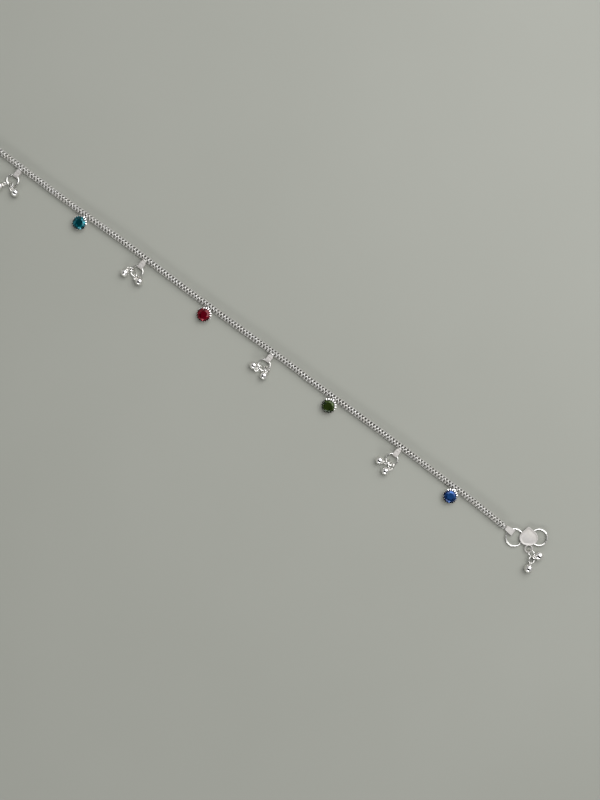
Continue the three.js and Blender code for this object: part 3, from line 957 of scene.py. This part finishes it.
def tag_piece(node, name, outward):
    lo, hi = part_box(node)
    half = (hi.z - lo.z) / 2
    length = hi.x - lo.x
    bm = folded_band(1.0, -half, length - 2 * half, half, TAG_WALL)
    bmesh.ops.translate(bm, verts=bm.verts, vec=(0, 0, -TAG_WALL / 2))
    narrow = 1.5 * MM
    wide = (hi.y - lo.y) * 0.98
    for vert in bm.verts:
        along = min(1.0, max(0.0, -vert.co.y / length))
        vert.co.x *= narrow + (wide - narrow) * along
    bmesh.ops.rotate(
        bm, verts=bm.verts, cent=(0, 0, 0),
        matrix=Matrix.Rotation(math.pi / 2 * outward, 3, "Z"),
    )
    start = lo.x if outward > 0 else hi.x
    bmesh.ops.translate(bm, verts=bm.verts, vec=(start, (lo.y + hi.y) / 2, lo.z))
    finish_piece(bm, name, [node], whitened_silver, bevel=0.05 * MM)


tag_piece("end_tag_hook", "folded_tag_hook", 1)
tag_piece("end_tag_ring", "folded_tag_ring", -1)
print("end tags: 2")

# %% [markdown]
# ## S-hook and leaf plate
#
# The clasp is one S of round wire: a loop for the chain, a straight crossing, and an open loop
# that hooks into the other end. A leaf-shaped plate is soldered over the crossing, with a wire
# eye at its foot. The S is two arcs joined by their shared inner tangent, so a formula gives
# its points. The leaf is one flat face inside two soft curves, made thick and given a raised border.

# %% The S of wire
HOOK_WIRE = 0.28 * MM
HOOK_LOOP_A = 2.87 * MM
HOOK_LOOP_B = 2.7 * MM
HOOK_SPACING = 8.2 * MM
HOOK_SWEEP = math.radians(290)
HOOK_TURN = VIEW_TURN
HOOK_Z = 0.6 * MM
LEAF_CENTRE = 4.7 * MM
LEAF_Z = 0.66 * MM
LEAF_EYE_RADIUS = 1.2 * MM
LEAF_EYE_WIRE = 0.22 * MM
LEAF_EYE_PLACE = Vector((4.67 * MM, -3.75 * MM, 0.86 * MM))


def hook_points():
    tangent = math.acos((HOOK_LOOP_A + HOOK_LOOP_B) / HOOK_SPACING)
    points = []
    for step in range(41):
        angle = tangent + HOOK_SWEEP * (1 - step / 40)
        points.append((HOOK_LOOP_A * math.cos(angle), HOOK_LOOP_A * math.sin(angle), HOOK_Z))
    for step in range(41):
        angle = tangent + math.pi + HOOK_SWEEP * step / 40
        x = HOOK_SPACING + HOOK_LOOP_B * math.cos(angle)
        points.append((x, HOOK_LOOP_B * math.sin(angle), HOOK_Z))
    return points


def leaf_outline():
    """One side of the leaf as two soft curves, tip to foot, then mirrored."""
    half = 3.1 * MM
    tip = 3.57 * MM
    foot = -2.55 * MM
    upper = interpolate_bezier(
        (0, tip, 0), (half * 0.40, tip - 0.85 * MM, 0), (half, tip - 2.2 * MM, 0), (half, 0, 0), 16,
    )
    lower = interpolate_bezier(
        (half, 0, 0), (half, -1.5 * MM, 0),
        (half * 0.62, foot + 0.05 * MM, 0), (half * 0.28, foot, 0), 12,
    )
    side = upper + lower[1:]
    return side + [Vector((-p.x, p.y, 0)) for p in reversed(side[1:])]


def shrink_and_lift(bm, faces, share, lift):
    """Draws a smaller copy of a face inwards, keeping its middle, and lifts it."""
    grown = bmesh.ops.extrude_face_region(bm, geom=faces)["geom"]
    bmesh.ops.delete(bm, geom=faces, context="FACES_ONLY")
    verts = [g for g in grown if isinstance(g, bmesh.types.BMVert)]
    bmesh.ops.scale(bm, verts=verts, vec=(share, share, 1))
    bmesh.ops.translate(bm, verts=verts, vec=(0, 0, lift))
    return [g for g in grown if isinstance(g, bmesh.types.BMFace)]


def add_leaf(bm):
    verts = [bm.verts.new(p) for p in leaf_outline()]
    top = [bm.faces.new(verts)]
    grown = bmesh.ops.extrude_face_region(bm, geom=top)["geom"]
    lifted = [g for g in grown if isinstance(g, bmesh.types.BMVert)]
    bmesh.ops.translate(bm, verts=lifted, vec=(0, 0, 0.38 * MM))
    top = [g for g in grown if isinstance(g, bmesh.types.BMFace)]
    top = shrink_and_lift(bm, top, 0.965, 0.05 * MM)  # rounded outer edge
    top = shrink_and_lift(bm, top, 0.95, 0.0)
    top = shrink_and_lift(bm, top, 0.97, -0.05 * MM)  # the low step inside the raised border
    for share in (0.8, 0.7, 0.5):
        top = shrink_and_lift(bm, top, share, 0.03 * MM)  # a faint dome
    bmesh.ops.translate(bm, verts=bm.verts, vec=(LEAF_CENTRE, 0, LEAF_Z))


leaf_bm = bmesh.new()
add_leaf(leaf_bm)
leaf_mesh = bpy.data.meshes.new("leaf")
leaf_bm.to_mesh(leaf_mesh)
leaf_bm.free()
print("leaf:", len(leaf_mesh.polygons), "faces")

# %% Join hook, leaf and eye
hook_bm = bmesh.new()
wire_along(hook_bm, hook_points(), HOOK_WIRE, 12, ends=0.72)
for face in hook_bm.faces:
    face.material_index = 1  # the wire is polished, the plate is whitened
hook_bm.from_mesh(leaf_mesh)
eye_bm = bmesh.new()
ring_mesh(eye_bm, LEAF_EYE_RADIUS, LEAF_EYE_WIRE, Matrix.Translation(LEAF_EYE_PLACE), steps=40)
eye_mesh = bpy.data.meshes.new("leaf_eye")
eye_bm.to_mesh(eye_mesh)
eye_bm.free()
hook_bm.from_mesh(eye_mesh)
bmesh.ops.recalc_face_normals(hook_bm, faces=hook_bm.faces)
bmesh.ops.rotate(
    hook_bm, verts=hook_bm.verts, cent=(0, 0, 0), matrix=Matrix.Rotation(HOOK_TURN, 3, "Z"),
)
hook_lo, hook_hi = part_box("s_hook")
made_lo = Vector([min(v.co[i] for v in hook_bm.verts) for i in range(3)])
made_hi = Vector([max(v.co[i] for v in hook_bm.verts) for i in range(3)])
shift = (hook_lo + hook_hi - made_lo - made_hi) / 2
bmesh.ops.translate(hook_bm, verts=hook_bm.verts, vec=(shift.x, shift.y, 0))
print("hook fit, mm:", [round(v / MM, 3) for v in (*(made_lo + shift - hook_lo), *shift)])
hook_piece = finish_piece(hook_bm, "leaf_s_hook", ["s_hook"], whitened_silver)
hook_piece.data.materials.append(polished_silver)
print("hook:", len(hook_piece.data.polygons), "faces")

# %% [markdown]
# ## Table and light
#
# The anklet lies on a smooth, pale grey-green table top with a soft sheen. One large window
# lights it from the upper right, so soft shadows fall to the lower left. A long low panel from
# below gives the polished bells a second bright patch, and a dark patch overhead, such as a
# person leaning over the table makes, gives them their black spot.

# %% Table top
TABLE_HALF = 2.5


def table_material():
    material, tree, shader = new_material("table_top")
    place = tree.nodes.new("ShaderNodeTexCoord").outputs["Object"]
    mottle = add_node(tree, "ShaderNodeTexNoise", None, Vector=place, Scale=9.0, Detail=4.0)
    mix = ramp(tree, mottle.outputs["Fac"], [(0.3, 0.0), (0.75, 1.0)])
    colour = blend_colours(tree, mix, (0.335, 0.342, 0.305, 1), (0.355, 0.362, 0.325, 1))
    tree.links.new(colour, shader.inputs["Base Color"])
    shader.inputs["Roughness"].default_value = 0.5
    shader.inputs["Specular IOR Level"].default_value = 0.3
    return material


table_bm = bmesh.new()
bmesh.ops.create_grid(table_bm, x_segments=1, y_segments=1, size=TABLE_HALF)
table_mesh = bpy.data.meshes.new("table_top")
table_bm.to_mesh(table_mesh)
table_bm.free()
table_mesh.materials.append(table_material())
table = bpy.data.objects.new("table_top", table_mesh)
bpy.context.scene.collection.objects.link(table)


# %% Lights and room
def soft_panel(name, from_way, distance, wide, tall, power):
    """An area light that looks at the anklet from a direction."""
    data = bpy.data.lights.new(name, "AREA")
    data.shape = "RECTANGLE"
    data.size = wide
    data.size_y = tall
    data.energy = power
    panel = bpy.data.objects.new(name, data)
    way = from_way.normalized()
    panel.location = aim + way * distance
    panel.rotation_euler = way.to_track_quat("Z", "Y").to_euler()
    bpy.context.scene.collection.objects.link(panel)


soft_panel("window_right", picture_right * 0.8 + picture_up * 0.7 + UP * 1.6, 0.7, 0.7, 0.7, 5.0)
soft_panel("window_low", -picture_right * 0.3 - picture_up * 0.9 + UP * 0.5, 1.1, 0.9, 0.25, 4.2)

world = bpy.data.worlds.new("room")
bpy.context.scene.world = world
world.use_nodes = True
room = world.node_tree
sky = room.nodes["Background"]
way_out = room.nodes.new("ShaderNodeTexCoord").outputs["Generated"]
height = add_node(room, "ShaderNodeSeparateXYZ", None, Vector=way_out).outputs["Z"]
walls = ramp(room, height, [(0.0, 0.55), (0.35, 0.58), (0.6, 0.64), (0.9, 0.7)])
toward = (-picture_up * 0.36 - picture_right * 0.16 + UP).normalized()
patch = add_node(room, "ShaderNodeVectorMath", {"operation": "DOT_PRODUCT"}, i0=way_out, i1=toward[:])
shade = ramp(room, patch.outputs["Value"], [(0.72, 1.0), (0.77, 0.005)])
room.links.new(blend_colours(room, 1.0, walls, shade, "MULTIPLY"), sky.inputs["Color"])
sky.inputs["Strength"].default_value = 0.7
bpy.context.scene.view_settings.view_transform = "Standard"
